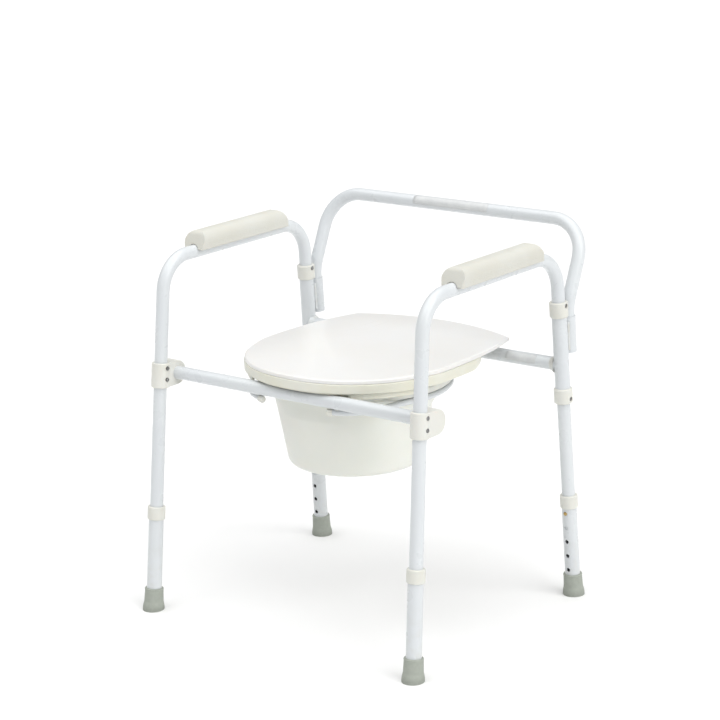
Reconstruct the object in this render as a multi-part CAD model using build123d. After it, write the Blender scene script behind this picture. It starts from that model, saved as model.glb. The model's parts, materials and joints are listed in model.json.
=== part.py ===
from build123d import *
import math
import os

os.makedirs("parts", exist_ok=True)

# Commode chair: a steel tube chair with telescoping legs, a seat, a lid and a pail.
# Millimetres. X runs across the chair, +Y points to its back, +Z is up.
# The working origin is on the floor, midway between the four feet.  Every piece is
# then moved back by CENTRE_SHIFT, so the saved origin lies under the middle of the
# chair's overall box.
CENTRE_SHIFT = 26.3

# ---- tube stock ----
TUBE_OD = 22.2
TUBE_ID = 19.2
OUTER_OD = 25.4
OUTER_ID = 22.36
RAIL_OD = 10.0
RAIL_ID = 7.6

# ---- legs and side frames ----
FOOT_X = 277.7
FOOT_Y = 226.54
SIDE_LEAN = 0.0149
FRONT_LEAN = 0.10857
REAR_LEAN = 0.04827
ARM_Z = 597.8
ARM_BEND = 60.0
INNER_TUBE_END_Z = 113.0
EXTENSION_BOTTOM_Z = 8.0
EXTENSION_TOP_Z = 176.0
LEG_COLLAR_BOTTOM_Z = 157.5
LEG_COLLAR_TOP_Z = 180.0
LEG_COLLAR_RADIUS = 15.0
BUTTON_Z = 149.1
HOLE_PITCH = 25.4
HOLE_COUNT = 5
HOLE_RADIUS = 3.45
BUTTON_RADIUS = 3.3
BUTTON_TIP = 14.7
SPRING_OFFSET = 8.2
SPRING_THICKNESS = 0.8
SPRING_WIDTH = 7.0

# ---- rubber tips ----
TIP_TOP_Z = 38.0
TIP_TOP_RADIUS = 15.9
TIP_BASE_RADIUS = 18.4

# ---- rear crossbar, its sleeves, collars and back sockets ----
REAR_BAR_Z = 408.6
SLEEVE_BOTTOM_Z = 358.5
SLEEVE_TOP_Z = 504.5
UPPER_COLLAR = (491.0, 517.3, 511.6)
LOWER_COLLAR = (369.0, 342.8, 351.4)
COLLAR_RADIUS = 15.6
COLLAR_CHAMFER = 1.8
COLLAR_SCREW_RADIUS = 2.0
COLLAR_SCREW_SEAT = 12.7
COLLAR_SCREW_HEAD = 3.4
COLLAR_SCREW_HEAD_HEIGHT = 2.0
SOCKET_X = 270.5
SOCKET_BOTTOM_Z = 426.5
SOCKET_TOP_Z = 488.0
SOCKET_FLOOR = 2.0
SOCKET_GAP = 0.05
BACK_BUTTON_Z = 480.5

# ---- backrest tube ----
BACK_KNEE_Z = 505.4
BACK_TOP_Y = 286.5
BACK_TOP_Z = 635.1
BACK_BEND = 64.0

# ---- front crossbar and its two brackets ----
FRONT_BAR_Y = -155.0
FRONT_BAR_Z = 404.5
FRONT_BAR_HALF = 280.8
BRACKET_BOTTOM_Z = 384.0
BRACKET_TOP_Z = 425.5
BRACKET_WRAP_RADIUS = 15.4
BRACKET_HALF_WIDTH = 14.0
BRACKET_LOBE_RADIUS = 20.5
BRACKET_END_WALL = 2.8
BRACKET_BOLT_HEIGHTS = (398.5, 417.5)
BOLT_RADIUS = 2.4
BOLT_HEAD_RADIUS = 3.3
BOLT_HEAD_HEIGHT = 2.2
BOLT_SEAT = 14.2

# ---- armrest pads ----
PAD_FRONT_Y = -91.5
PAD_REAR_Y = 138.0
PAD_BOTTOM_Z = 601.5
PAD_TOP_Z = 631.5
PAD_HALF_WIDTH = 22.5
PAD_CORNER_ROUND = 9.5
PAD_CROWN_ROUND = 19.0
PAD_END_RAKE = 14.0
PAD_END_ROUND = 12.0
PAD_NOTCH_RADIUS = 12.6
PAD_NOTCH_DEPTH = 5.0
PAD_SCREW_Y = (-55.0, 100.0)
PAD_SCREW_RADIUS = 2.2
PAD_SCREW_HEAD = 4.0
PAD_SCREW_LENGTH = 15.0

# ---- seat and lid outlines ----
SEAT_HALF_WIDTH = 188.0
SEAT_WIDEST_Y = 25.0
SEAT_FRONT_Y = -171.0
SEAT_SQUARENESS = 2.25
LID_CORNER_X = 164.0
LID_CORNER_Y = 212.0
LID_CORNER_ROUND = 6.5
LID_REAR_Y = 246.0
SEAT_GROW = 1.5
SEAT_TAIL_HALF_WIDTH = 110.5
SEAT_TAIL_START_Y = 180.0
SEAT_TAIL_Y = 222.5
SEAT_TAIL_ROUND = 8.0
# each flank point with the outward direction there
SEAT_FLANK = (((177.8, 105.1), (0.777, 0.629)), ((146.1, 148.8), (0.60, 0.80)))
SEAT_TOP_Z = 434.5
SEAT_PLATE = 4.0
SEAT_WALL = 3.0
# lower edge of the outer wall from front to rear: y, z
SEAT_WALL_EDGE = ((-300.0, 420.0), (-120.0, 420.0), (-60.0, 418.0), (75.0, 418.0))
SEAT_WALL_EDGE_REAR = ((110.0, 423.5), (300.0, 423.5))
SEAT_INNER_WALL_INSET = 5.0
SEAT_INNER_WALL = 2.6
SEAT_INNER_WALL_END_Y = -60.0
SEAT_INNER_WALL_Z = 409.5
SEAT_INNER_WALL_FRONT_Z = 416.3
SEAT_INNER_WALL_FRONT_Y = -142.0
OPENING_Y = -5.0
OPENING_HALF_WIDTH = 103.0
OPENING_HALF_LENGTH = 125.0
GUARD_BOTTOM_Z = 409.0
LID_RIM_Z = 435.0
LID_CROWN_Z = 446.0
LID_DOME_RADIUS = 4500.0
LID_DOME_Y = 35.0
LID_SKIN = 4.2
LID_EDGE = 4.0
LID_EDGE_ROUND = 2.6

# ---- lid hinge ----
LID_AXIS_Y = 233.0
LID_AXIS_Z = 430.0
KNUCKLE_RADIUS = 4.6
HINGE_X = 90.0
EAR_HALF_WIDTH = 5.0
LUG_INNER = 5.3
LUG_OUTER = 10.5
PIN_RADIUS = 2.0

# ---- seat clips and bumpers ----
CLIP_X = 84.0
CLIP_HALF_WIDTH = 11.0
CLIP_BORE = 11.18
CLIP_RADIUS = 15.2
CLIP_FLANGE_HALF = 19.0
CLIP_MOUTH = 17.0
CLIP_SCREW_X = 15.0
BUMPER_X = 45.0
BUMPER_Y = -150.0

# ---- pail and pail rails ----
PAIL_BODY_Y = -5.0
PAIL_RIM_Y = 12.0
PAIL_BOTTOM_Z = 258.5
PAIL_BOTTOM_RADIUS = 112.9
PAIL_BOTTOM_ROUND = 12.0
PAIL_NECK_RADIUS = 129.5
PAIL_NECK_Z = 356.0
PAIL_FLARE_RADIUS = 149.0
PAIL_RIM_Z = 393.4
PAIL_RIM_RADIUS = 154.0
PAIL_TOP_Z = 404.0
PAIL_WALL = 2.4
RAIL_Z = 387.0
RAIL_NOSE = (69.1, -158.2)
RAIL_NOSE_HEADING = 27.0
RAIL_NOSE_LENGTH = 34.0
RAIL_ARC_Y = 10.2
RAIL_ARC_RADIUS = 152.0
RAIL_ARC_START = -20.0
RAIL_ARC_END = 58.0
RAIL_REAR_X = 65.0
RAIL_BEND = 24.0
RAIL_FOOT_X = 83.0
RAIL_CAP_RADIUS = 5.9
RAIL_CAP_LENGTH = 10.5

# bolt radius, distance of its seat from the leg's axis, head radius, head height
BRACKET_BOLT = (BOLT_RADIUS, BOLT_SEAT, BOLT_HEAD_RADIUS, BOLT_HEAD_HEIGHT)
COLLAR_SCREW = (
    COLLAR_SCREW_RADIUS,
    COLLAR_SCREW_SEAT,
    COLLAR_SCREW_HEAD,
    COLLAR_SCREW_HEAD_HEIGHT,
)

SIDES = {"left": -1, "right": 1}
ENDS = {"front": -1, "rear": 1}
UP = (Align.CENTER, Align.CENTER, Align.MIN)


def save(node, shape):
    """Move a finished piece to the saved origin and write it."""
    solids = shape.solids() if hasattr(shape, "solids") else list(shape)
    moved = [s.moved(Location((0, -CENTRE_SHIFT, 0))) for s in solids]
    out = moved[0] if len(moved) == 1 else Compound(children=moved)
    out.label = node
    export_step(out, f"parts/{node}.step")


def leg_point(side, end, z):
    """Centre of a leg at height z."""
    lean = FRONT_LEAN if end < 0 else REAR_LEAN
    return Vector(side * (FOOT_X - SIDE_LEAN * z), end * (FOOT_Y - lean * z), z)


def leg_plane(side, end, z):
    """Plane square to a leg, its x axis towards the other leg of that side."""
    up = (leg_point(side, end, z + 1) - leg_point(side, end, z)).normalized()
    facing = Vector(0, -end, 0)
    return Plane(leg_point(side, end, z), x_dir=facing - up * facing.dot(up), z_dir=up)


def leg_rod(side, end, z_low, z_high, radius):
    """Solid round bar along a leg between two heights."""
    length = (leg_point(side, end, z_high) - leg_point(side, end, z_low)).length
    return leg_plane(side, end, z_low) * Cylinder(radius, length, align=UP)


def leg_ring(side, end, z_low, z_high, outer, inner):
    """Tube along a leg between two heights."""
    bore = leg_rod(side, end, z_low - 1, z_high + 1, inner)
    return leg_rod(side, end, z_low, z_high, outer) - bore


def bar_x(x_low, x_high, y, z, radius):
    """Round bar along X."""
    middle = (x_low + x_high) / 2
    return Pos(middle, y, z) * Rot(0, 90, 0) * Cylinder(radius, x_high - x_low)


def block(x0, x1, y0, y1, z0, z1):
    """Box between two corners."""
    return Pos((x0 + x1) / 2, (y0 + y1) / 2, (z0 + z1) / 2) * Box(
        x1 - x0, y1 - y0, z1 - z0
    )


def sided_block(side, x0, x1, y0, y1, z0, z1):
    """Box on one side of the chair, x measured outward from the middle."""
    low, high = sorted((side * x0, side * x1))
    return block(low, high, y0, y1, z0, z1)


def swept_tube(path, outer, inner):
    """Round tube along a path."""
    start = Plane(path @ 0, z_dir=path % 0)
    return sweep(start * Circle(outer), path=path) - sweep(
        start * Circle(inner), path=path
    )


def radial_pin(plane, near, far, radius):
    """Round pin along a plane's x axis, from one distance to another."""
    return plane * Pos((near + far) / 2, 0, 0) * Rot(0, 90, 0) * Cylinder(radius, far - near)


def snap_button(plane):
    """Domed button that stands out along the plane's x axis."""
    pin = Cylinder(BUTTON_RADIUS, BUTTON_TIP - 8.7, align=UP)
    pin = fillet(pin.faces().sort_by(Axis.Z)[-1].edges(), 2.2)
    return plane * Pos(8.7, 0, 0) * Rot(0, 90, 0) * pin


def snap_spring(plane):
    """Bent strip that presses the button out through both tubes."""
    path = FilletPolyline(
        (SPRING_OFFSET, 0, -6),
        (SPRING_OFFSET, 0, 14),
        (0, 0, 46),
        (-SPRING_OFFSET, 0, 4),
        radius=3,
    )
    section = Plane(path @ 0, z_dir=path % 0) * Rectangle(SPRING_THICKNESS, SPRING_WIDTH)
    return plane * sweep(section, path=path)


def pan_head_screw(radius, length, head_radius, head_height):
    """Screw along +Z with its head below z = 0."""
    head = Pos(0, 0, -head_height) * Cylinder(head_radius, head_height, align=UP)
    head = fillet(head.faces().sort_by(Axis.Z)[0].edges(), head_height * 0.6)
    slot = Pos(0, 0, -head_height) * Box(0.9, head_radius * 1.1, 1.6)
    return head - slot + Cylinder(radius, length, align=UP)


def cap_nut(radius, bore, height):
    """Domed hexagon nut along +Z."""
    body = extrude(RegularPolygon(radius, 6), height)
    dome = Pos(0, 0, height) * Cylinder(radius * 0.8, height * 0.5, align=UP)
    dome = fillet(dome.faces().sort_by(Axis.Z)[-1].edges(), height * 0.4)
    return body + dome - Cylinder(bore, height * 1.1, align=UP)


def cross_holes(body, side, end, z, sizes):
    """Clearance hole along X through a leg fitting, with a sunk seat at each face."""
    radius, seat, head_radius, _ = sizes
    p = leg_point(side, end, z)
    body -= bar_x(p.X - 40, p.X + 40, p.Y, z, radius + 0.1)
    for way in (-1, 1):
        low, high = sorted((p.X + way * seat, p.X + way * 40))
        body -= bar_x(low, high, p.Y, z, head_radius + 0.6)
    return body


def cross_bolt(side, end, z, sizes):
    """Bolt along X through a leg fitting, its head on the outer face."""
    radius, seat, head_radius, head_height = sizes
    p = leg_point(side, end, z)
    screw = pan_head_screw(radius, 2 * seat + 2.4, head_radius, head_height)
    return Pos(p.X + side * seat, p.Y, z) * Rot(0, -90 * side, 0) * screw


def cross_nut(side, end, z, sizes):
    """Domed nut on the inner face."""
    radius, seat, head_radius, head_height = sizes
    p = leg_point(side, end, z)
    nut = cap_nut(head_radius, radius + 0.02, head_height + 0.4)
    return Pos(p.X - side * seat, p.Y, z) * Rot(0, -90 * side, 0) * nut


# ------------------------------------------------------------------ side frames
def side_frame(side):
    """Front leg, arm and rear leg, bent from one tube."""
    path = FilletPolyline(
        leg_point(side, -1, INNER_TUBE_END_Z),
        leg_point(side, -1, ARM_Z),
        leg_point(side, 1, ARM_Z),
        leg_point(side, 1, INNER_TUBE_END_Z),
        radius=ARM_BEND,
    )
    tube = swept_tube(path, TUBE_OD / 2, TUBE_ID / 2)
    for end in ENDS.values():
        tube -= radial_pin(leg_plane(side, end, BUTTON_Z), 6, 14, HOLE_RADIUS)
    places = [(-1, z, BOLT_RADIUS) for z in BRACKET_BOLT_HEIGHTS]
    places += [(1, c[2], COLLAR_SCREW_RADIUS) for c in (UPPER_COLLAR, LOWER_COLLAR)]
    for end, z, radius in places:
        p = leg_point(side, end, z)
        tube -= bar_x(p.X - 16, p.X + 16, p.Y, z, radius + 0.1)
    arm_x = leg_point(side, 1, ARM_Z).X
    for y in PAD_SCREW_Y:
        tube -= Pos(arm_x, y, ARM_Z) * Cylinder(PAD_SCREW_RADIUS + 0.1, 15, align=UP)
        tube -= Pos(arm_x, y, ARM_Z - 15) * Cylinder(PAD_SCREW_HEAD + 0.8, 15, align=UP)
    return tube


# ------------------------------------------------------------------ telescoping legs
def leg_extension(side, end):
    """Outer lower tube with its row of height holes."""
    tube = leg_ring(
        side, end, EXTENSION_BOTTOM_Z, EXTENSION_TOP_Z, OUTER_OD / 2, OUTER_ID / 2
    )
    for step in range(HOLE_COUNT):
        plane = leg_plane(side, end, BUTTON_Z)
        tube -= radial_pin(plane.offset(-step * HOLE_PITCH), 8, 16, HOLE_RADIUS)
    return tube


def leg_collar(side, end):
    """Plastic ring on the upper end of the outer tube, with a lip round the inner one."""
    top = EXTENSION_TOP_Z + 0.1
    body = leg_rod(side, end, LEG_COLLAR_BOTTOM_Z, LEG_COLLAR_TOP_Z, LEG_COLLAR_RADIUS)
    ends = body.edges().filter_by(GeomType.CIRCLE)
    body = chamfer(ends, 1.2)
    body -= leg_rod(side, end, LEG_COLLAR_BOTTOM_Z - 1, top, OUTER_OD / 2 + 0.03)
    return body - leg_rod(side, end, top - 1, LEG_COLLAR_TOP_Z + 1, OUTER_ID / 2)


def rubber_tip(side, end):
    """Flared rubber foot, cut level with the floor."""
    profile = Polyline(
        (0, -8),
        (TIP_BASE_RADIUS, -8),
        (TIP_BASE_RADIUS, 5),
        (TIP_BASE_RADIUS - 0.7, 9),
        (TIP_TOP_RADIUS + 0.5, 15),
        (TIP_TOP_RADIUS - 0.2, TIP_TOP_Z - 4),
        (TIP_TOP_RADIUS + 0.2, TIP_TOP_Z - 1.5),
        (TIP_TOP_RADIUS - 0.6, TIP_TOP_Z),
        (OUTER_OD / 2 + 0.04, TIP_TOP_Z),
        (OUTER_OD / 2 + 0.04, EXTENSION_BOTTOM_Z - 0.1),
        (0, EXTENSION_BOTTOM_Z - 0.1),
        close=True,
    )
    body = revolve(Plane.XZ * make_face(profile), Axis.Z)
    body = leg_plane(side, end, 0) * body
    return body - Pos(0, 0, -25) * Box(900, 900, 50)


# ------------------------------------------------------------------ rear cross frame
def sleeve_offset(side, z_low, z_high, radius):
    """Round bar parallel to a rear sleeve, on the line of its back socket."""
    length = (z_high - z_low) * math.sqrt(1 + REAR_LEAN**2)
    return socket_plane(side, z_low) * Cylinder(radius, length, align=UP)


def socket_point(side, z):
    """Centre of a back socket at height z, right behind its sleeve."""
    return Vector(side * SOCKET_X, leg_point(1, 1, z).Y + OUTER_OD + SOCKET_GAP, z)


def socket_plane(side, z):
    """Plane square to a back socket, its x axis to the rear."""
    up = Vector(0, -REAR_LEAN, 1).normalized()
    return Plane(socket_point(side, z), x_dir=Vector(0, 1, REAR_LEAN), z_dir=up)


def back_socket(side):
    """Short tube that takes the foot of the backrest, with a closed bottom."""
    tube = sleeve_offset(side, SOCKET_BOTTOM_Z, SOCKET_TOP_Z, OUTER_OD / 2)
    floor_z = SOCKET_BOTTOM_Z + SOCKET_FLOOR
    tube -= sleeve_offset(side, floor_z, SOCKET_TOP_Z + 1, OUTER_ID / 2)
    tube -= sleeve_offset(side, SOCKET_BOTTOM_Z - 1, floor_z + 1, 4)
    return tube - radial_pin(socket_plane(side, BACK_BUTTON_Z), 8, 16, HOLE_RADIUS)


def rear_crossbar():
    """Bar between the two rear sleeves, its ends shaped to fit them."""
    y = leg_point(1, 1, REAR_BAR_Z).Y
    reach = leg_point(1, 1, REAR_BAR_Z).X
    bar = bar_x(-reach, reach, y, REAR_BAR_Z, TUBE_OD / 2)
    bar -= bar_x(-reach - 1, reach + 1, y, REAR_BAR_Z, TUBE_ID / 2)
    for side in SIDES.values():
        bar -= leg_rod(side, 1, SLEEVE_BOTTOM_Z, SLEEVE_TOP_Z, OUTER_OD / 2 + 0.02)
    return bar


def frame_welds():
    """Weld beads: crossbar to sleeves, sockets to sleeves, rails to crossbar."""
    beads = []
    bar_y = leg_point(1, 1, REAR_BAR_Z).Y
    for side in SIDES.values():
        sleeve = leg_rod(side, 1, SLEEVE_BOTTOM_Z, SLEEVE_TOP_Z, OUTER_OD / 2 + 0.02)
        start = leg_point(1, 1, REAR_BAR_Z).X - OUTER_OD / 2
        cone = Cone(15.2, TUBE_OD / 2 + 0.3, 8)
        ring = Pos(side * (start - 1.5), bar_y, REAR_BAR_Z) * Rot(0, -90 * side, 0) * cone
        ring -= bar_x(-300, 300, bar_y, REAR_BAR_Z, TUBE_OD / 2 + 0.02)
        beads += (ring - sleeve).solids()
        socket = sleeve_offset(side, SOCKET_BOTTOM_Z, SOCKET_TOP_Z, OUTER_OD / 2 + 0.02)
        for across in (-1, 1):
            bead_x = side * (SOCKET_X + 0.4) + across * 7.0
            middle = socket_point(side, SOCKET_BOTTOM_Z + 6)
            y = middle.Y - OUTER_OD / 2
            place = Pos(bead_x, y, middle.Z) * Rot(math.degrees(REAR_LEAN), 0, 0)
            bead = Box(4.4, 5.0, 48, align=UP)
            beads += (place * bead - sleeve - socket).solids()
        rail = pail_rail(side, RAIL_OD / 2 + 0.02, None)
        feet = (
            (RAIL_REAR_X, bar_y, bar_y, REAR_BAR_Z),
            (RAIL_FOOT_X, FRONT_BAR_Y + 4, FRONT_BAR_Y, FRONT_BAR_Z),
        )
        for x, foot_y, y, z in feet:
            foot = sided_block(side, x - 4, x + 4, foot_y - 4, foot_y + 4, z - 13.5, z - 8.6)
            foot -= bar_x(-300, 300, y, z, TUBE_OD / 2 + 0.02)
            beads += (foot - rail).solids()
    return beads


def sleeve_collar(side, places):
    """Stepped plastic bush over a sleeve's end, cross-screwed to the leg beyond it."""
    over_sleeve, far_end, screw_z = places
    way = 1 if far_end > over_sleeve else -1
    step_z = SLEEVE_TOP_Z + 0.3 if way > 0 else SLEEVE_BOTTOM_Z - 0.3
    low, high = sorted((over_sleeve, far_end))
    body = leg_rod(side, 1, low, high, COLLAR_RADIUS)
    body = chamfer(body.edges().filter_by(GeomType.CIRCLE), COLLAR_CHAMFER)
    body -= leg_rod(side, 1, low - 2, high + 2, TUBE_OD / 2 + 0.04)
    low, high = sorted((over_sleeve - 2 * way, step_z))
    body -= leg_rod(side, 1, low, high, OUTER_OD / 2 + 0.03)
    if way > 0:
        body -= sleeve_offset(side, over_sleeve - 12, far_end + 12, TUBE_OD / 2 + 0.35)
    return cross_holes(body, side, 1, screw_z, COLLAR_SCREW)


# ------------------------------------------------------------------ front bracket
def front_bracket(side):
    """Plastic moulding screwed round a front leg; its rear lobe holds the crossbar."""
    z0, z1 = BRACKET_BOTTOM_Z, BRACKET_TOP_Z
    middle = leg_point(side, -1, (z0 + z1) / 2)
    x0 = abs(middle.X) - BRACKET_HALF_WIDTH
    x1 = abs(middle.X) + BRACKET_HALF_WIDTH
    wrap = leg_rod(side, -1, z0, z1, BRACKET_WRAP_RADIUS)
    wrap = fillet(wrap.edges().filter_by(GeomType.CIRCLE), 1.5)
    web = sided_block(side, x0, x1, middle.Y, FRONT_BAR_Y, z0 + 0.6, z1 - 0.6)
    low, high = sorted((side * x0, side * x1))
    lobe = bar_x(low, high, FRONT_BAR_Y, FRONT_BAR_Z, BRACKET_LOBE_RADIUS)
    lobe = fillet(lobe.edges().filter_by(GeomType.CIRCLE), 1.8)
    body = wrap + web + lobe
    body -= leg_rod(side, -1, z0 - 5, z1 + 5, TUBE_OD / 2 + 0.04)
    low, high = sorted((side * (x0 - 5), side * (x1 - BRACKET_END_WALL)))
    body -= bar_x(low, high, FRONT_BAR_Y, FRONT_BAR_Z, TUBE_OD / 2 + 0.04)
    for z in BRACKET_BOLT_HEIGHTS:
        body = cross_holes(body, side, -1, z, BRACKET_BOLT)
    return body


# ------------------------------------------------------------------ backrest
def backrest_tube():
    """One bent tube: two feet in the sockets, raked uprights and a top bar."""
    foot_z = SOCKET_BOTTOM_Z + SOCKET_FLOOR + 0.5
    right = [socket_point(1, foot_z), socket_point(1, BACK_KNEE_Z)]
    right.append(Vector(SOCKET_X, BACK_TOP_Y, BACK_TOP_Z))
    left = [Vector(-p.X, p.Y, p.Z) for p in reversed(right)]
    path = FilletPolyline(*right, *left, radius=BACK_BEND)
    tube = swept_tube(path, TUBE_OD / 2, TUBE_ID / 2)
    for side in SIDES.values():
        tube -= radial_pin(socket_plane(side, BACK_BUTTON_Z), 6, 14, HOLE_RADIUS)
    return tube


# ------------------------------------------------------------------ armrest pads
def armrest_pad(side):
    """Moulded pad with a rounded crown and ends, a saddle over the arm tube."""
    x = leg_point(1, 1, ARM_Z).X * side
    length = PAD_REAR_Y - PAD_FRONT_Y
    tall = PAD_TOP_Z - PAD_BOTTOM_Z
    middle = (PAD_REAR_Y + PAD_FRONT_Y) / 2
    across = Rectangle(2 * PAD_HALF_WIDTH, tall)
    across = fillet(across.vertices().group_by(Axis.Y)[-1], PAD_CROWN_ROUND)
    across = fillet(across.vertices().group_by(Axis.Y)[0], 2.0)
    half = length / 2
    along = Polygon(
        (-half, -tall / 2),
        (half, -tall / 2),
        (half - PAD_END_RAKE, tall / 2),
        (PAD_END_RAKE - half, tall / 2),
    )
    along = fillet(along.vertices().group_by(Axis.Y)[-1], PAD_END_ROUND)
    along = fillet(along.vertices().group_by(Axis.Y)[0], 2.0)
    plan = RectangleRounded(2 * PAD_HALF_WIDTH, length, PAD_CORNER_ROUND)
    body = Plane.XZ * extrude(across, half + 1, both=True)
    body &= Plane.YZ * extrude(along, PAD_HALF_WIDTH + 1, both=True)
    body &= extrude(plan, tall / 2 + 1, both=True)
    body = Pos(x, middle, (PAD_TOP_Z + PAD_BOTTOM_Z) / 2) * body
    saddle = Rot(90, 0, 0) * Cylinder(TUBE_OD / 2 + 0.06, length + 20)
    body -= Pos(x, middle, ARM_Z) * saddle
    for y in (PAD_FRONT_Y, PAD_REAR_Y):
        notch = Rot(90, 0, 0) * Cylinder(PAD_NOTCH_RADIUS, 2 * PAD_NOTCH_DEPTH)
        body -= Pos(x, y, ARM_Z) * notch
    for y in PAD_SCREW_Y:
        body -= Pos(x, y, ARM_Z) * Cylinder(PAD_SCREW_RADIUS - 0.05, 25, align=UP)
    return body


def pad_screws():
    """Screws inside each arm tube, up through its upper wall into the pad."""
    out = []
    seat_z = ARM_Z + math.sqrt((TUBE_ID / 2) ** 2 - PAD_SCREW_HEAD**2) - 0.05
    for side in SIDES.values():
        x = leg_point(1, 1, ARM_Z).X * side
        for y in PAD_SCREW_Y:
            radius = PAD_SCREW_RADIUS - 0.1
            screw = pan_head_screw(radius, PAD_SCREW_LENGTH, PAD_SCREW_HEAD, 2.4)
            out.append(Pos(x, y, seat_z) * screw)
    return out


# ------------------------------------------------------------------ seat and lid
def front_curve(grow):
    """Right half of the full round front, from the middle to the widest point."""
    half, widest = SEAT_HALF_WIDTH + grow, SEAT_WIDEST_Y
    depth = widest - SEAT_FRONT_Y + grow
    power = 2 / SEAT_SQUARENESS
    front = []
    for step in range(0, 7):
        turn = math.radians(90 - 15 * step)
        front.append(
            (
                half * max(math.cos(turn), 0) ** power,
                widest - depth * max(math.sin(turn), 0) ** power,
            )
        )
    front[0] = (0, widest - depth)
    front[-1] = (half, widest)
    return Spline(front, tangents=[(1, 0), (0, 1)])


def lid_face(grow):
    """Plan outline of the lid: full round front, tapered sides, arched rear."""
    nose = front_curve(grow)
    corner = (LID_CORNER_X + grow, LID_CORNER_Y + grow)
    flank = Spline([nose @ 1, corner], tangents=[(0, 1), (-0.3, 1)])
    back = ThreePointArc(corner, (0, LID_REAR_Y + grow), (-corner[0], corner[1]))
    edges = [nose, flank, back, mirror(flank, Plane.YZ), mirror(nose, Plane.YZ)]
    face = make_face(edges)
    corners = [v for v in face.vertices() if v.Y > LID_CORNER_Y - 20]
    return fillet(corners, LID_CORNER_ROUND)


def seat_face(grow):
    """Plan outline of the seat: an oval with a square tail that carries the hinges."""
    nose = front_curve(grow)
    points = [(x + grow * nx, y + grow * ny) for (x, y), (nx, ny) in SEAT_FLANK]
    tail_x = SEAT_TAIL_HALF_WIDTH + grow
    tail_start = (tail_x, SEAT_TAIL_START_Y + 0.65 * grow)
    flank = Spline([nose @ 1, *points, tail_start], tangents=[(0, 1), (-0.85, 0.53)])
    tail_end = (tail_x, SEAT_TAIL_Y + grow)
    tail = Line(tail_start, tail_end)
    back = Line(tail_end, (-tail_end[0], tail_end[1]))
    halves = [nose, flank, tail]
    face = make_face(halves + [back] + [mirror(e, Plane.YZ) for e in halves])
    corners = [v for v in face.vertices() if v.Y > SEAT_TAIL_START_Y - 8]
    return fillet(corners, SEAT_TAIL_ROUND)


def dome(crown_z):
    """Very large ball whose top gives the lid its slight crown."""
    return Pos(0, LID_DOME_Y, crown_z - LID_DOME_RADIUS) * Sphere(LID_DOME_RADIUS)


def lid():
    """Slightly domed lid with two hinge ears under its rear edge."""
    tall = LID_CROWN_Z - LID_RIM_Z + 5
    skin = Pos(0, 0, LID_RIM_Z) * extrude(lid_face(0), tall) & dome(LID_CROWN_Z)
    skin = fillet(skin.faces().sort_by(Axis.Z)[-1].edges(), LID_EDGE_ROUND)
    hollow = Pos(0, 0, LID_RIM_Z - 1) * extrude(lid_face(-LID_EDGE), tall)
    body = skin - (hollow & dome(LID_CROWN_Z - LID_SKIN))
    for side in SIDES.values():
        x0, x1 = HINGE_X - EAR_HALF_WIDTH, HINGE_X + EAR_HALF_WIDTH
        y0, y1 = LID_AXIS_Y - KNUCKLE_RADIUS, LID_AXIS_Y + KNUCKLE_RADIUS
        body += sided_block(side, x0, x1, y0, y1, LID_AXIS_Z, LID_RIM_Z + 2)
        low, high = sorted((side * x0, side * x1))
        body += bar_x(low, high, LID_AXIS_Y, LID_AXIS_Z, KNUCKLE_RADIUS)
        body -= bar_x(low - 1, high + 1, LID_AXIS_Y, LID_AXIS_Z, PIN_RADIUS + 0.06)
    return body


def opening_face(grow):
    """Oval seat opening."""
    return Pos(0, OPENING_Y) * Ellipse(
        OPENING_HALF_WIDTH + grow, OPENING_HALF_LENGTH + grow
    )


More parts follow.
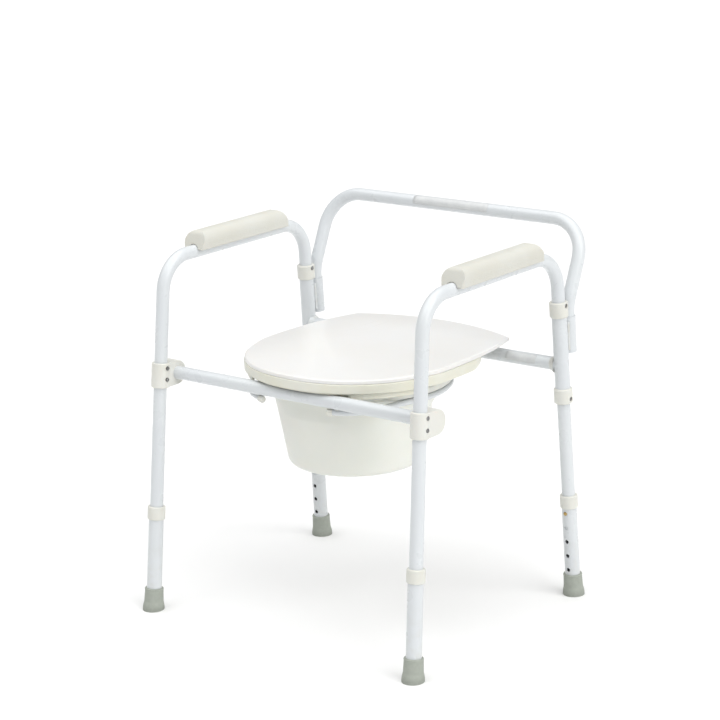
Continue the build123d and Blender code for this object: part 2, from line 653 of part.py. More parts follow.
def seat():
    """Moulded seat: top plate, outer and inner walls, splash guard and hinge lugs."""
    low_edge = [*SEAT_WALL_EDGE, *SEAT_WALL_EDGE_REAR]
    bottom = min(z for y, z in low_edge)
    tall = SEAT_TOP_Z - bottom
    body = Pos(0, 0, bottom) * extrude(seat_face(SEAT_GROW), tall)
    top_rim = body.faces().sort_by(Axis.Z)[-1].outer_wire().edges()
    body = fillet(top_rim, 2.0)
    body -= Pos(0, 0, bottom - 1) * extrude(
        seat_face(SEAT_GROW - SEAT_WALL), tall - SEAT_PLATE + 1
    )
    under = [(low_edge[0][0], bottom - 1), *low_edge, (low_edge[-1][0], bottom - 1)]
    body -= extrude(Plane.YZ * make_face(Polyline(*under, close=True)), 300, both=True)
    inset = SEAT_GROW - SEAT_INNER_WALL_INSET
    inner_tall = SEAT_TOP_Z - SEAT_PLATE + 1 - SEAT_INNER_WALL_Z
    inner = extrude(seat_face(inset), inner_tall)
    inner -= extrude(seat_face(inset - SEAT_INNER_WALL), inner_tall)
    inner = Pos(0, 0, SEAT_INNER_WALL_Z) * inner
    inner &= block(-300, 300, -300, SEAT_INNER_WALL_END_Y, 400, SEAT_TOP_Z)
    front_y = SEAT_INNER_WALL_FRONT_Y
    body += inner - block(-300, 300, -300, front_y, 400, SEAT_INNER_WALL_FRONT_Z)
    guard_tall = SEAT_TOP_Z - GUARD_BOTTOM_Z
    body += Pos(0, 0, GUARD_BOTTOM_Z) * extrude(opening_face(SEAT_WALL), guard_tall)
    body -= Pos(0, 0, GUARD_BOTTOM_Z - 1) * extrude(opening_face(0), guard_tall + 2)
    rim = [e for e in body.edges() if e.center().Z > SEAT_TOP_Z - 0.1 and e.length > 600]
    rim = [e for e in rim if e.bounding_box().max.X < OPENING_HALF_WIDTH + 2]
    body = fillet(rim, 2.5)
    for side in SIDES.values():
        for way in (-1, 1):
            near = HINGE_X + way * LUG_INNER
            far = HINGE_X + way * LUG_OUTER
            x0, x1 = sorted((near, far))
            z0, z1 = LID_AXIS_Z - KNUCKLE_RADIUS, LID_AXIS_Z + KNUCKLE_RADIUS - 0.2
            body += sided_block(side, x0, x1, SEAT_TAIL_Y, LID_AXIS_Y, z0, z1)
            low, high = sorted((side * x0, side * x1))
            body += bar_x(low, high, LID_AXIS_Y, LID_AXIS_Z, KNUCKLE_RADIUS)
            body -= bar_x(low - 1, high + 1, LID_AXIS_Y, LID_AXIS_Z, PIN_RADIUS + 0.02)
    return body


def seat_clip(side):
    """C clip that snaps round the rear crossbar and carries the seat."""
    y = leg_point(1, 1, REAR_BAR_Z).Y
    top = SEAT_TOP_Z - SEAT_PLATE - 0.05
    x0, x1 = CLIP_X - CLIP_HALF_WIDTH, CLIP_X + CLIP_HALF_WIDTH
    low, high = sorted((side * x0, side * x1))
    body = bar_x(low, high, y, REAR_BAR_Z, CLIP_RADIUS)
    body += sided_block(side, x0, x1, y - 12, y + 12, REAR_BAR_Z + 4, top)
    f0, f1 = CLIP_X - CLIP_FLANGE_HALF, CLIP_X + CLIP_FLANGE_HALF
    body += sided_block(side, f0, f1, y - 12, y + 12, top - 4, top)
    body -= bar_x(low - 1, high + 1, y, REAR_BAR_Z, CLIP_BORE)
    half = CLIP_MOUTH / 2
    body -= sided_block(
        side, x0 - 1, x1 + 1, y - half, y + half, REAR_BAR_Z - 20, REAR_BAR_Z - 4
    )
    for way in (-1, 1):
        x = side * (CLIP_X + way * CLIP_SCREW_X)
        body -= Pos(x, y, top - 6) * Cylinder(2.0, 10, align=UP)
    return body


def seat_clip_screws():
    """Short screws up through each clip's flanges into the seat plate."""
    y = leg_point(1, 1, REAR_BAR_Z).Y
    top = SEAT_TOP_Z - SEAT_PLATE - 0.05
    screw = pan_head_screw(1.9, 3.9, 3.4, 2.0)
    return [
        Pos(side * (CLIP_X + way * CLIP_SCREW_X), y, top - 4.05) * screw
        for side in SIDES.values()
        for way in (-1, 1)
    ]


def seat_bumper(side):
    """Soft saddle under the seat front that rests on the front crossbar."""
    x = side * BUMPER_X
    top = SEAT_TOP_Z - SEAT_PLATE - 0.05
    body = block(x - 12, x + 12, BUMPER_Y - 9, BUMPER_Y + 9, FRONT_BAR_Z + 7, top)
    body = fillet(body.edges().filter_by(Axis.Z), 2.5)
    return body - bar_x(x - 20, x + 20, FRONT_BAR_Y, FRONT_BAR_Z, TUBE_OD / 2 + 0.3)


# ------------------------------------------------------------------ pail
def pail_shape(inset):
    """Pail as a solid shrunk by inset: round body, flare leaning back, rim."""
    foot_z = PAIL_BOTTOM_Z + inset
    foot_radius = PAIL_BOTTOM_RADIUS - inset
    neck_radius = PAIL_NECK_RADIUS - inset
    flare_radius = PAIL_FLARE_RADIUS - inset
    body = Cone(foot_radius, neck_radius, PAIL_NECK_Z - foot_z, align=UP)
    low_edge = body.faces().sort_by(Axis.Z)[0].edges()
    body = fillet(low_edge, PAIL_BOTTOM_ROUND - inset)
    neck = Pos(0, PAIL_BODY_Y, PAIL_NECK_Z) * Circle(neck_radius)
    mouth = Pos(0, PAIL_RIM_Y, PAIL_RIM_Z) * Circle(flare_radius)
    return Pos(0, PAIL_BODY_Y, foot_z) * body + loft([neck, mouth])


def pail():
    """Round pail: tapered body, an off-centre flare and a turned-over rim."""
    tall = PAIL_TOP_Z - PAIL_RIM_Z
    rim = Cylinder(PAIL_RIM_RADIUS, tall, align=UP)
    rim = fillet(rim.faces().sort_by(Axis.Z)[-1].edges(), 2.0)
    rim -= Pos(0, 0, -1) * Cylinder(PAIL_FLARE_RADIUS - PAIL_WALL, tall + 2, align=UP)
    rim = Pos(0, PAIL_RIM_Y, PAIL_RIM_Z) * rim
    return pail_shape(0) - pail_shape(PAIL_WALL) + rim


def rail_path(side):
    """From under the front bar, round the pail below its rim, to the rear crossbar."""

    def on_arc(degrees):
        turn = math.radians(degrees)
        reach = RAIL_ARC_RADIUS * math.cos(turn)
        return Vector(side * reach, RAIL_ARC_Y + RAIL_ARC_RADIUS * math.sin(turn), RAIL_Z)

    def heading(degrees):
        turn = math.radians(degrees)
        return Vector(side * math.cos(turn), math.sin(turn), 0)

    bar_y = leg_point(1, 1, REAR_BAR_Z).Y
    weld_z = REAR_BAR_Z - (TUBE_OD + RAIL_OD) / 2 - 0.05
    nose = Vector(side * RAIL_NOSE[0], RAIL_NOSE[1], RAIL_Z)
    nose_way = heading(RAIL_NOSE_HEADING)
    nose_end = nose + nose_way * RAIL_NOSE_LENGTH
    arc_start, arc_stop = on_arc(RAIL_ARC_START), on_arc(RAIL_ARC_END)
    flank = on_arc((RAIL_ARC_START + RAIL_ARC_END) / 2)
    # behind the pail: along the arc's tangent, then bent straight back
    turn = math.radians(RAIL_ARC_END)
    x = side * RAIL_REAR_X
    tangent_way = heading(90 + RAIL_ARC_END)
    run = (abs(arc_stop.X) - RAIL_REAR_X) / math.sin(turn)
    knee = arc_stop + tangent_way * run
    set_back = RAIL_BEND * math.tan(turn / 2)
    knee_in = knee - tangent_way * set_back
    knee_out = knee + Vector(0, set_back, 0)
    near_bar = Vector(x, bar_y - 8, weld_z)
    return Wire(
        [
            Line(nose, nose_end),
            Spline(
                [nose_end, arc_start],
                tangents=[nose_way, heading(90 + RAIL_ARC_START)],
            ),
            ThreePointArc(arc_start, flank, arc_stop),
            Line(arc_stop, knee_in),
            TangentArc(knee_out, knee_in, tangent=(0, -1, 0)),
            Spline([knee_out, near_bar], tangents=[(0, 1, 0), (0, 1, 0)]),
            Line(near_bar, (x, bar_y + 8, weld_z)),
        ]
    )


def pail_rail(side, outer, inner):
    """Bent rail that carries the pail; solid when no bore is given."""
    path = rail_path(side)
    start = Plane(path @ 0, z_dir=path % 0)
    body = sweep(start * Circle(outer), path=path)
    if inner is None:
        return body
    return body - sweep(start * Circle(inner), path=path)


def rail_cap(side):
    """Round-nosed plastic cap on a rail's front end."""
    path = rail_path(side)
    start = Plane(path @ 0, z_dir=path % 0)
    cap = Cylinder(RAIL_CAP_RADIUS, RAIL_CAP_LENGTH, align=UP)
    cap = fillet(cap.faces().sort_by(Axis.Z)[0].edges(), 3.6)
    cap -= Pos(0, 0, 3) * Cylinder(RAIL_OD / 2 + 0.03, RAIL_CAP_LENGTH, align=UP)
    return start * Pos(0, 0, -3.05) * cap


# ------------------------------------------------------------------ write every piece
for name, side in SIDES.items():
    save(f"side_frame_{name}", side_frame(side))
    sleeve = leg_ring(
        side, 1, SLEEVE_BOTTOM_Z, SLEEVE_TOP_Z, OUTER_OD / 2, OUTER_ID / 2
    )
    save(f"rear_sleeve_{name}", sleeve)
    save(f"back_socket_{name}", back_socket(side))
    save(f"collar_upper_{name}", sleeve_collar(side, UPPER_COLLAR))
    save(f"collar_lower_{name}", sleeve_collar(side, LOWER_COLLAR))
    save(f"front_bracket_{name}", front_bracket(side))
    save(f"armrest_pad_{name}", armrest_pad(side))
    save(f"seat_clip_{name}", seat_clip(side))
    save(f"pail_rail_{name}", pail_rail(side, RAIL_OD / 2, RAIL_ID / 2))
    save(f"backrest_button_{name}", snap_button(socket_plane(side, BACK_BUTTON_Z)))
    back_spring = snap_spring(socket_plane(side, BACK_BUTTON_Z))
    save(f"backrest_spring_{name}", back_spring)
    for end_name, end in ENDS.items():
        place = f"{end_name}_{name}"
        save(f"leg_extension_{place}", leg_extension(side, end))
        save(f"leg_collar_{place}", leg_collar(side, end))
        save(f"rubber_tip_{place}", rubber_tip(side, end))
        save(f"leg_button_{place}", snap_button(leg_plane(side, end, BUTTON_Z)))
        save(f"leg_spring_{place}", snap_spring(leg_plane(side, end, BUTTON_Z)))

front_bar = bar_x(-FRONT_BAR_HALF, FRONT_BAR_HALF, FRONT_BAR_Y, FRONT_BAR_Z, TUBE_OD / 2)
front_bar -= bar_x(-300, 300, FRONT_BAR_Y, FRONT_BAR_Z, TUBE_ID / 2)
save("front_crossbar", front_bar)
save("rear_crossbar", rear_crossbar())
save("frame_welds", frame_welds())
save("backrest_tube", backrest_tube())
save("armrest_screws", pad_screws())
save("seat", seat())
save("lid", lid())
save("seat_clip_screws", seat_clip_screws())
save("seat_bumpers", [seat_bumper(side) for side in SIDES.values()])
save("pail", pail())
save("pail_rail_caps", [rail_cap(side) for side in SIDES.values()])

hinge_pins = []
for side in SIDES.values():
    low, high = sorted((side * (HINGE_X - LUG_OUTER), side * (HINGE_X + LUG_OUTER)))
    hinge_pins.append(bar_x(low, high, LID_AXIS_Y, LID_AXIS_Z, PIN_RADIUS))
save("lid_hinge_pins", hinge_pins)

bolt_places = [(s, -1, z, BRACKET_BOLT) for s in SIDES.values() for z in BRACKET_BOLT_HEIGHTS]
save("bracket_bolts", [cross_bolt(*place) for place in bolt_places])
save("bracket_nuts", [cross_nut(*place) for place in bolt_places])
collars = (UPPER_COLLAR, LOWER_COLLAR)
screw_places = [(s, 1, c[2], COLLAR_SCREW) for s in SIDES.values() for c in collars]
save("collar_screws", [cross_bolt(*place) for place in screw_places])
save("collar_nuts", [cross_nut(*place) for place in screw_places])
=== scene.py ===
import json
import math

import bpy
from mathutils import Matrix, Vector


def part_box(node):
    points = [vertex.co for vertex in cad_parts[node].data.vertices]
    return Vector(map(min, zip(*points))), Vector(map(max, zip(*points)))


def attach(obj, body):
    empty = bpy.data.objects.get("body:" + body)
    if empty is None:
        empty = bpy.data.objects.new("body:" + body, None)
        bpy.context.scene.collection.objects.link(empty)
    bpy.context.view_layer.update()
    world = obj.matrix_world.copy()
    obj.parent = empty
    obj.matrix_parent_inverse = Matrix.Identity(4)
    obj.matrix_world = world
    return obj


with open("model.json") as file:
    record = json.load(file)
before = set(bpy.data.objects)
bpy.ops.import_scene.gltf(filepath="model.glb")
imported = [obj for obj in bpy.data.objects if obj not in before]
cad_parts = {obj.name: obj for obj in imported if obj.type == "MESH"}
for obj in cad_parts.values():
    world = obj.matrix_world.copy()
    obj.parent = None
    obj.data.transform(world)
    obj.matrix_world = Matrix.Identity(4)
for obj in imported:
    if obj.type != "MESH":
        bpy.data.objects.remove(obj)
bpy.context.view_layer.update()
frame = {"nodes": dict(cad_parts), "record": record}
NODES = frame["nodes"]
SLOT_OF = {row["node"]: row["material_slot"] for row in frame["record"]["subparts"]}


# ---------------------------------------------------------------- colours
def srgb(red, green, blue):
    """Linear colour of an 8-bit display colour."""

    def linear(value):
        value /= 255
        return value / 12.92 if value <= 0.04045 else ((value + 0.055) / 1.055) ** 2.4

    return (linear(red), linear(green), linear(blue), 1.0)


TUBE_WHITE = srgb(208, 212, 214)
TUBE_COOL = srgb(206, 210, 213)
DUST = srgb(197, 197, 191)
CREAM = srgb(215, 215, 209)
CREAM_WARM = srgb(212, 212, 204)
PAD_CREAM = srgb(204, 204, 197)
PAD_WARM = srgb(201, 200, 191)
SEAT_CREAM = srgb(219, 219, 209)
SEAT_WARM = srgb(215, 214, 198)
LID_WHITE = srgb(228, 228, 227)
LID_WARM = srgb(226, 225, 222)
PAIL_WHITE = srgb(225, 226, 219)
PAIL_COOL = srgb(221, 223, 215)
RUBBER = srgb(160, 165, 156)
RUBBER_SHADE = srgb(154, 159, 150)
# Colour of the painted shade at the foot of the rubber tips.
RUBBER_PAINTED_SHADE = srgb(128, 132, 124)
RUBBER_DUST = srgb(178, 180, 173)
BUMPER = srgb(196, 195, 186)
BRASS = srgb(196, 172, 116)
BRASS_DARK = srgb(140, 112, 66)
STEEL = srgb(168, 169, 168)
STEEL_DARK = srgb(112, 112, 112)
LABEL = srgb(206, 208, 208)
LABEL_EDGE = srgb(199, 201, 202)
FLOOR_WHITE = srgb(243, 243, 243)
FLOOR_PALE = srgb(241, 241, 241)


# ---------------------------------------------------------------- node helpers
CELL_SMOOTHNESS = 0.6


def colour_sockets(sockets):
    """Those of a node's sockets that carry a colour, in order."""
    return [socket for socket in sockets if socket.type == "RGBA"]


class Surface:
    """A Principled material whose textures are laid out in the row frame, in metres."""

    def __init__(self, name):
        self.material = bpy.data.materials.new(name)
        self.material.use_nodes = True
        self.tree = self.material.node_tree
        self.shader = self.tree.nodes["Principled BSDF"]
        self.place = self.tree.nodes.new("ShaderNodeTexCoord").outputs["Object"]
        self.normal = None

    def link(self, source, target):
        self.tree.links.new(source, target)

    def stretched(self, scale):
        """Coordinates scaled by a different amount along each axis."""
        node = self.tree.nodes.new("ShaderNodeMapping")
        node.inputs["Scale"].default_value = scale
        self.link(self.place, node.inputs["Vector"])
        return node.outputs["Vector"]

    def noise(self, scale, detail=2.0, stretch=None, distortion=0.0):
        """Soft noise around 0.5, with scale swells to the metre."""
        node = self.tree.nodes.new("ShaderNodeTexNoise")
        node.inputs["Scale"].default_value = scale
        node.inputs["Detail"].default_value = detail
        node.inputs["Distortion"].default_value = distortion
        self.link(self.stretched(stretch) if stretch else self.place, node.inputs["Vector"])
        return node.outputs["Fac"]

    def cells(self, scale, stretch=None):
        """Smooth distance to the nearest cell centre: a pebbled grain, scale cells to the metre."""
        node = self.tree.nodes.new("ShaderNodeTexVoronoi")
        node.feature = "SMOOTH_F1"
        node.inputs["Scale"].default_value = scale
        node.inputs["Smoothness"].default_value = CELL_SMOOTHNESS
        self.link(self.stretched(stretch) if stretch else self.place, node.inputs["Vector"])
        return node.outputs["Distance"]

    def height(self, low, high):
        """1 below the height low, 0 above the height high."""
        split = self.tree.nodes.new("ShaderNodeSeparateXYZ")
        self.link(self.place, split.inputs["Vector"])
        return self.ramp(split.outputs["Z"], low, high, 1.0, 0.0)

    def ramp(self, value, low, high, out_low=0.0, out_high=1.0):
        """Smooth step from out_low, at values up to low, to out_high, from high on."""
        node = self.tree.nodes.new("ShaderNodeMapRange")
        node.interpolation_type = "SMOOTHSTEP"
        node.inputs["From Min"].default_value = low
        node.inputs["From Max"].default_value = high
        node.inputs["To Min"].default_value = out_low
        node.inputs["To Max"].default_value = out_high
        self.link(value, node.inputs["Value"])
        return node.outputs["Result"]

    def clouds(self, scale, detail, low, high, out_low=0.0, out_high=1.0):
        """Patches: plain noise, stepped like ramp."""
        return self.ramp(self.noise(scale, detail), low, high, out_low, out_high)

    def times(self, first, second):
        """Product of two values; either may be a plain number."""
        node = self.tree.nodes.new("ShaderNodeMath")
        node.operation = "MULTIPLY"
        for value, socket in zip((first, second), node.inputs):
            if isinstance(value, float):
                socket.default_value = value
            else:
                self.link(value, socket)
        return node.outputs["Value"]

    def blend(self, factor, first, second):
        """Colour that goes from first to second with factor."""
        node = self.tree.nodes.new("ShaderNodeMix")
        node.data_type = "RGBA"
        self.link(factor, node.inputs["Factor"])
        for value, socket in zip((first, second), colour_sockets(node.inputs)):
            if isinstance(value, tuple):
                socket.default_value = value
            else:
                self.link(value, socket)
        return colour_sockets(node.outputs)[0]

    def raised(self, value, depth):
        """Adds relief: value 0 to 1 stands for 0 to depth metres."""
        node = self.tree.nodes.new("ShaderNodeBump")
        node.inputs["Distance"].default_value = depth
        self.link(value, node.inputs["Height"])
        if self.normal is not None:
            self.link(self.normal, node.inputs["Normal"])
        self.normal = node.outputs["Normal"]

    def finish(self, colour, roughness, **fixed):
        """Wires up the shader; fixed gives further inputs, such as Coat_Weight, a plain value."""
        self.link(colour, self.shader.inputs["Base Color"])
        self.link(roughness, self.shader.inputs["Roughness"])
        if self.normal is not None:
            self.link(self.normal, self.shader.inputs["Normal"])
        for name, value in fixed.items():
            self.shader.inputs[name.replace("_", " ").title()].default_value = value
        return self.material


# ---------------------------------------------------------------- materials
# Relief depths and heights above the floor are in metres. A stretch multiplies the coordinates,
# so a small factor draws the pattern out along that axis.
ALONG_LEG = (1.0, 1.0, 0.16)
FRONT_TO_BACK = (1.0, 0.06, 1.0)
ALONG_BEAD = (0.6, 1.0, 1.0)
DRAWN = (1.0, 1.0, 0.12)
SCUFF_STRENGTH = 0.06
LEG_DUST_HEIGHTS = (0.03, 0.16)
LEG_DUST_STRENGTH = 0.4
SPECK_STRENGTH = 0.16
WIPE_STRENGTH = 0.10
# Painted shade at the foot of each rubber tip: the heights it fades over, and its strength.
TIP_SHADE_HEIGHTS = (0.002, 0.014)
TIP_SHADE_STRENGTH = 0.45
TIP_DUST_HEIGHTS = (0.0, 0.022)
TIP_DUST_STRENGTH = 0.22
METAL_SPOT_STRENGTH = 0.5
PLASTIC_SCATTER = (0.0030, 0.0024, 0.0018)


def painted_tube(name, floor_dust):
    """Powder coat: slight orange peel, cool patches, fine scuffs, dust low down."""
    s = Surface(name)
    colour = s.blend(s.clouds(7.0, 3.0, low=0.35, high=0.65), TUBE_WHITE, TUBE_COOL)
    streaks = s.noise(260.0, detail=4.0, stretch=ALONG_LEG, distortion=0.6)
    scuffs = s.ramp(streaks, low=0.66, high=0.78)
    patches = s.clouds(16.0, 2.0, low=0.52, high=0.66)
    marks = s.times(scuffs, s.times(patches, SCUFF_STRENGTH))
    colour = s.blend(marks, colour, DUST)
    if floor_dust:
        near_floor = s.height(*LEG_DUST_HEIGHTS)
        dust = s.times(near_floor, s.clouds(70.0, 5.0, low=0.4, high=0.75))
        colour = s.blend(s.times(dust, LEG_DUST_STRENGTH), colour, DUST)
    roughness = s.clouds(34.0, 3.0, low=0.3, high=0.7, out_low=0.26, out_high=0.36)
    s.raised(s.noise(120.0), depth=0.00003)
    s.raised(s.noise(640.0), depth=0.00002)
    return s.finish(colour, roughness, Coat_Weight=0.25, Coat_Roughness=0.2)


def weld_paint(name):
    """Powder coat over a weld bead: ripples along the bead."""
    s = Surface(name)
    colour = s.blend(s.clouds(60.0, 3.0, low=0.3, high=0.7), TUBE_WHITE, DUST)
    roughness = s.clouds(90.0, 3.0, low=0.3, high=0.7, out_low=0.32, out_high=0.46)
    s.raised(s.cells(420.0, stretch=ALONG_BEAD), depth=0.00050)
    s.raised(s.noise(700.0), depth=0.00008)
    return s.finish(colour, roughness, Coat_Weight=0.15)


def moulding(name, light, warm, rough, grain, grain_depth, soft):
    """Moulded plastic: cloudy tint, pebbled grain and small rubbed patches."""
    s = Surface(name)
    colour = s.blend(s.clouds(11.0, 3.0, low=0.34, high=0.66), light, warm)
    specks = s.clouds(900.0, 2.0, low=0.70, high=0.80)
    colour = s.blend(s.times(specks, SPECK_STRENGTH), colour, DUST)
    smooth, rubbed = rough
    wear = s.noise(26.0, detail=4.0, distortion=0.4)
    roughness = s.ramp(wear, low=0.34, high=0.66, out_low=smooth, out_high=rubbed)
    s.raised(s.noise(48.0), depth=0.00018)
    s.raised(s.cells(grain), depth=grain_depth)
    s.raised(s.noise(1500.0), depth=0.00002)
    return s.finish(
        colour,
        roughness,
        Subsurface_Weight=soft,
        Subsurface_Radius=PLASTIC_SCATTER,
        Subsurface_Scale=1.0,
    )


def lid_plastic(name):
    """Satin moulding with faint wipe marks that run front to back."""
    s = Surface(name)
    colour = s.blend(s.clouds(5.0, 3.0, low=0.34, high=0.66), LID_WHITE, LID_WARM)
    streaks = s.noise(150.0, detail=5.0, stretch=FRONT_TO_BACK, distortion=0.8)
    wipes = s.ramp(streaks, low=0.62, high=0.74)
    worn = s.clouds(9.0, 2.0, low=0.45, high=0.7)
    marks = s.times(wipes, worn)
    roughness = s.ramp(marks, low=0.0, high=1.0, out_low=0.30, out_high=0.46)
    colour = s.blend(s.times(marks, WIPE_STRENGTH), colour, DUST)
    s.raised(s.noise(22.0), depth=0.00030)
    s.raised(s.noise(420.0), depth=0.00004)
    return s.finish(
        colour,
        roughness,
        Subsurface_Weight=0.12,
        Subsurface_Radius=PLASTIC_SCATTER,
        Subsurface_Scale=1.0,
        Coat_Weight=0.15,
    )


def tip_rubber(name):
    """Moulded rubber: fine pits, faint mottling, painted shade darkening the lowest part, and dust
    near the floor.
    """
    s = Surface(name)
    colour = s.blend(s.clouds(160.0, 4.0, low=0.25, high=0.75), RUBBER, RUBBER_SHADE)
    # Painted shade: the lowest few millimetres of each tip are darkened to stand in for the shade
    # where it meets the floor.
    painted_shade_base = s.height(*TIP_SHADE_HEIGHTS)
    colour = s.blend(s.times(painted_shade_base, TIP_SHADE_STRENGTH), colour, RUBBER_PAINTED_SHADE)
    near_floor = s.height(*TIP_DUST_HEIGHTS)
    dust = s.times(near_floor, s.clouds(330.0, 5.0, low=0.45, high=0.75))
    colour = s.blend(s.times(dust, TIP_DUST_STRENGTH), colour, RUBBER_DUST)
    roughness = s.clouds(150.0, 3.0, low=0.3, high=0.7, out_low=0.62, out_high=0.82)
    s.raised(s.noise(85.0, detail=3.0), depth=0.00018)
    s.raised(s.cells(1100.0), depth=0.00010)
    return s.finish(colour, roughness)


def plain_metal(name, light, dark, rough):
    """Plated or drawn metal: fine streaks and darker spots."""
    s = Surface(name)
    streaks = s.noise(900.0, detail=3.0, stretch=DRAWN)
    spots = s.clouds(420.0, 4.0, low=0.5, high=0.75)
    colour = s.blend(s.ramp(streaks, low=0.3, high=0.7), light, dark)
    colour = s.blend(s.times(spots, METAL_SPOT_STRENGTH), colour, dark)
    smooth, worn = rough
    roughness = s.clouds(600.0, 3.0, low=0.3, high=0.7, out_low=smooth, out_high=worn)
    s.raised(streaks, depth=0.00004)
    return s.finish(colour, roughness, Metallic=1.0)


def label_film(name):
    """Blank satin label film, slightly rumpled."""
    s = Surface(name)
    colour = s.blend(s.clouds(90.0, 4.0, low=0.3, high=0.7), LABEL, LABEL_EDGE)
    roughness = s.clouds(60.0, 2.0, low=0.3, high=0.7, out_low=0.34, out_high=0.5)
    s.raised(s.noise(160.0), depth=0.00008)
    return s.finish(colour, roughness)


def floor_paint(name):
    """Pale studio floor with barely visible drifts of tone."""
    s = Surface(name)
    colour = s.blend(s.clouds(1.2, 2.0, low=0.3, high=0.7), FLOOR_WHITE, FLOOR_PALE)
    roughness = s.clouds(3.0, 2.0, low=0.3, high=0.7, out_low=0.42, out_high=0.5)
    return s.finish(colour, roughness)


# For each: light tint, warm tint, roughness range, pebbles to the metre, pebble depth, translucency.
MOULDINGS = {
    "collar_plastic": (CREAM, CREAM_WARM, (0.38, 0.52), 620.0, 0.00008, 0.1),
    "bracket_plastic": (CREAM, CREAM_WARM, (0.38, 0.52), 560.0, 0.00010, 0.1),
    "clip_plastic": (CREAM, CREAM_WARM, (0.40, 0.54), 560.0, 0.00010, 0.1),
    "rail_cap_plastic": (CREAM, CREAM_WARM, (0.36, 0.5), 700.0, 0.00006, 0.1),
    "armrest_plastic": (PAD_CREAM, PAD_WARM, (0.46, 0.60), 480.0, 0.00022, 0.15),
    "seat_plastic": (SEAT_CREAM, SEAT_WARM, (0.30, 0.42), 800.0, 0.00005, 0.15),
    "pail_plastic": (PAIL_WHITE, PAIL_COOL, (0.34, 0.48), 520.0, 0.00008, 0.25),
    "bumper_rubber": (BUMPER, CREAM_WARM, (0.60, 0.75), 900.0, 0.00010, 0.05),
}
# For each: light tint, dark tint, roughness range.
METALS = {
    "button_brass": (BRASS, BRASS_DARK, (0.26, 0.42)),
    "spring_steel": (STEEL, STEEL_DARK, (0.30, 0.45)),
    "screw_steel": (STEEL, STEEL_DARK, (0.28, 0.46)),
}


def all_materials():
    """The material of each slot that the record names."""
    found = {
        "tube_paint": painted_tube("tube_paint", floor_dust=False),
        "leg_tube": painted_tube("leg_tube", floor_dust=True),
        "weld_paint": weld_paint("weld_paint"),
    }
    for name, look in MOULDINGS.items():
        found[name] = moulding(name, *look)
    found["lid_plastic"] = lid_plastic("lid_plastic")
    found["tip_rubber"] = tip_rubber("tip_rubber")
    for name, look in METALS.items():
        found[name] = plain_metal(name, *look)
    return found


MATERIALS = all_materials()
for node, piece in NODES.items():
    piece.data.materials.clear()
    piece.data.materials.append(MATERIALS[SLOT_OF[node]])


# ---------------------------------------------------------------- labels
# Sizes and spans in metres, turns in degrees.
LABEL_THICKNESS = 0.00018
LABEL_GAP = 0.00003
LABEL_STEPS_ROUND = 14
LABEL_STEPS_ALONG = 24
LABEL_CORNER = 0.0025
BACK_LABEL_SPAN = (-0.082, 0.076)
BACK_LABEL_TURNS = (-12.0, 78.0)
BAR_LABEL_SPAN = (0.166, 0.226)
BAR_LABEL_TURNS = (-16.0, 70.0)


def label_lines(radius, turns):
    """Angle of each lengthwise line of points, and how far its ends are drawn in at the corners."""
    first, last = (math.radians(turn) for turn in turns)
    lines = []
    for j in range(LABEL_STEPS_ROUND + 1):
        turn = first + (last - first) * j / LABEL_STEPS_ROUND
        edge = min(turn - first, last - turn) * radius
        across = max(0.0, LABEL_CORNER - edge)
        inset = LABEL_CORNER - math.sqrt(max(0.0, LABEL_CORNER**2 - across**2))
        lines.append((turn, inset))
    return lines


def label_points(axis_y, axis_z, radius, span, turns):
    """Points of the film's inner face, then those of its outer face."""
    low, high = span
    points = []
    for lift in (LABEL_GAP, LABEL_GAP + LABEL_THICKNESS):
        reach = radius + lift
        for turn, inset in label_lines(radius, turns):
            y = axis_y - reach * math.cos(turn)
            z = axis_z + reach * math.sin(turn)
            for i in range(LABEL_STEPS_ALONG + 1):
                share = i / LABEL_STEPS_ALONG
                points.append((low + inset + (high - low - 2 * inset) * share, y, z))
    return points


def label_faces():
    """Faces of both sides of the film and of its edge."""
    row = LABEL_STEPS_ALONG + 1
    layer = row * (LABEL_STEPS_ROUND + 1)
    faces = []
    for j in range(LABEL_STEPS_ROUND):
        for i in range(LABEL_STEPS_ALONG):
            a = j * row + i
            faces.append((a, a + row, a + row + 1, a + 1))
            faces.append((a + layer, a + layer + 1, a + layer + row + 1, a + layer + row))
    rim = list(range(row))
    rim += [j * row + row - 1 for j in range(1, LABEL_STEPS_ROUND + 1)]
    rim += [layer - 1 - i for i in range(1, row)]
    rim += [j * row for j in range(LABEL_STEPS_ROUND - 1, 0, -1)]
    for a, b in zip(rim, rim[1:] + rim[:1]):
        faces.append((a, b, b + layer, a + layer))
    return faces


def tube_label(name, body, axis_y, axis_z, radius, span, turns):
    """Blank film wrapped part of the way round a tube that runs along X.

    span is its lowest and highest x; turns are its first and last angle in degrees,
    from the front (-Y) over the top (+Z).
    """
    faces = label_faces()
    mesh = bpy.data.meshes.new(name)
    mesh.from_pydata(label_points(axis_y, axis_z, radius, span, turns), [], faces)
    mesh.polygons.foreach_set("use_smooth", [True] * len(faces))
    mesh.materials.append(LABEL_MATERIAL)
    label = bpy.data.objects.new(name, mesh)
    bpy.context.scene.collection.objects.link(label)
    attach(label, body)


LABEL_MATERIAL = label_film("label_film")
back_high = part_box("backrest_tube")[1]
bar_low, bar_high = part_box("rear_crossbar")
TUBE_RADIUS = (bar_high.z - bar_low.z) / 2
tube_label(
    "back_label",
    "backrest",
    back_high.y - TUBE_RADIUS,
    back_high.z - TUBE_RADIUS,
    TUBE_RADIUS,
    BACK_LABEL_SPAN,
    BACK_LABEL_TURNS,
)
tube_label(
    "bar_label",
    "frame",
    (bar_low.y + bar_high.y) / 2,
    (bar_low.z + bar_high.z) / 2,
    TUBE_RADIUS,
    BAR_LABEL_SPAN,
    BAR_LABEL_TURNS,
)


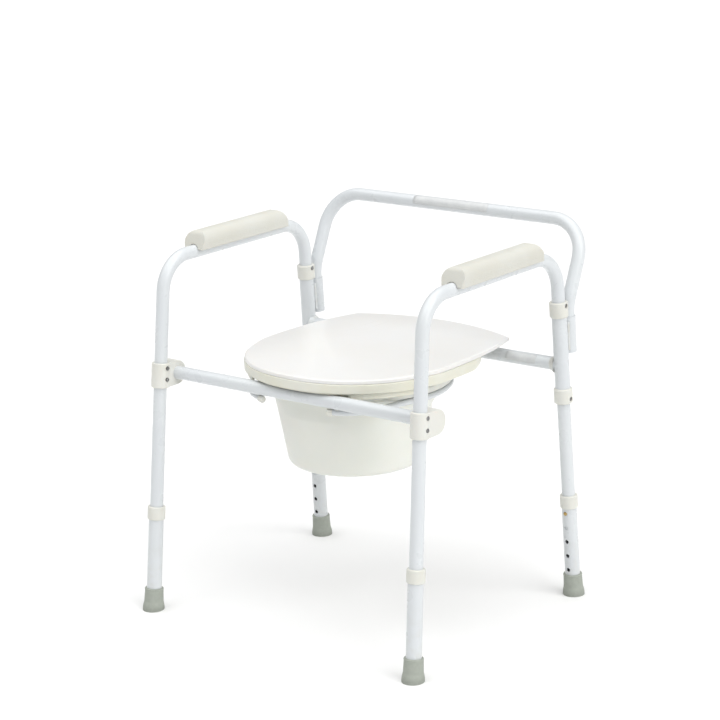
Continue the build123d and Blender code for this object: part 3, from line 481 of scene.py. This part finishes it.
# ---------------------------------------------------------------- stage, lights, camera
# Places in metres, angles in radians, focal length in millimetres.
CAMERA_PLACE = (2.34916, -2.91382, 1.44338)
CAMERA_AZIMUTH = 0.680814194
CAMERA_ELEVATION = 0.266789659
CAMERA_ROLL = -0.0351361828
CAMERA_LENS = 116.43
FLOOR_HALF = 60.0
AMBIENT = 0.36
# For each: direction it comes from, strength, width of the light in degrees, colour.
SUNS = {
    "key": ((1.0, -0.05, 0.75), 1.6, 50.0, (1.0, 0.995, 0.985)),
    "top": ((-0.1, -0.15, 1.0), 2.45, 80.0, (1.0, 1.0, 1.0)),
}
WHITE = (1.0, 1.0, 1.0, 1.0)


def add_floor():
    """Wide level floor under the feet."""
    mesh = bpy.data.meshes.new("floor")
    signs = [(-1, -1), (1, -1), (1, 1), (-1, 1)]
    corners = [(FLOOR_HALF * x, FLOOR_HALF * y, 0) for x, y in signs]
    mesh.from_pydata(corners, [], [(0, 1, 2, 3)])
    floor = bpy.data.objects.new("floor", mesh)
    mesh.materials.append(floor_paint("floor_paint"))
    bpy.context.scene.collection.objects.link(floor)


def add_sun(name, toward, strength, softness, colour):
    """Far soft light that comes from the direction toward."""
    light = bpy.data.lights.new(name, "SUN")
    light.energy = strength
    light.angle = math.radians(softness)
    light.color = colour
    lamp = bpy.data.objects.new(name, light)
    lamp.rotation_euler = (-Vector(toward)).to_track_quat("-Z", "Y").to_euler()
    bpy.context.scene.collection.objects.link(lamp)


def add_world():
    """Dim white surroundings for light, pure white where the camera looks past the floor."""
    world = bpy.data.worlds.new("studio")
    world.use_nodes = True
    tree = world.node_tree
    light = tree.nodes["Background"]
    light.inputs["Color"].default_value = WHITE
    light.inputs["Strength"].default_value = AMBIENT
    backdrop = tree.nodes.new("ShaderNodeBackground")
    backdrop.inputs["Color"].default_value = WHITE
    path = tree.nodes.new("ShaderNodeLightPath")
    mix = tree.nodes.new("ShaderNodeMixShader")
    tree.links.new(path.outputs["Is Camera Ray"], mix.inputs["Fac"])
    tree.links.new(light.outputs["Background"], mix.inputs[1])
    tree.links.new(backdrop.outputs["Background"], mix.inputs[2])
    tree.links.new(mix.outputs["Shader"], tree.nodes["World Output"].inputs["Surface"])
    bpy.context.scene.world = world


def add_camera():
    """Camera at its place, aimed by azimuth and elevation and rolled about its line of sight."""
    azimuth, elevation = CAMERA_AZIMUTH, CAMERA_ELEVATION
    back = Vector(
        (
            math.sin(azimuth) * math.cos(elevation),
            -math.cos(azimuth) * math.cos(elevation),
            math.sin(elevation),
        )
    )
    level = Vector((math.cos(azimuth), math.sin(azimuth), 0))
    up = back.cross(level)
    right = math.cos(CAMERA_ROLL) * level + math.sin(CAMERA_ROLL) * up
    above = math.cos(CAMERA_ROLL) * up - math.sin(CAMERA_ROLL) * level
    turn = Matrix((right, above, back)).transposed().to_4x4()
    data = bpy.data.cameras.new("camera")
    data.lens = CAMERA_LENS
    camera = bpy.data.objects.new("camera", data)
    camera.matrix_world = Matrix.Translation(CAMERA_PLACE) @ turn
    bpy.context.scene.collection.objects.link(camera)
    bpy.context.scene.camera = camera


bpy.context.scene.view_settings.view_transform = "Standard"
add_world()
add_floor()
for sun, look in SUNS.items():
    add_sun(sun, *look)
add_camera()
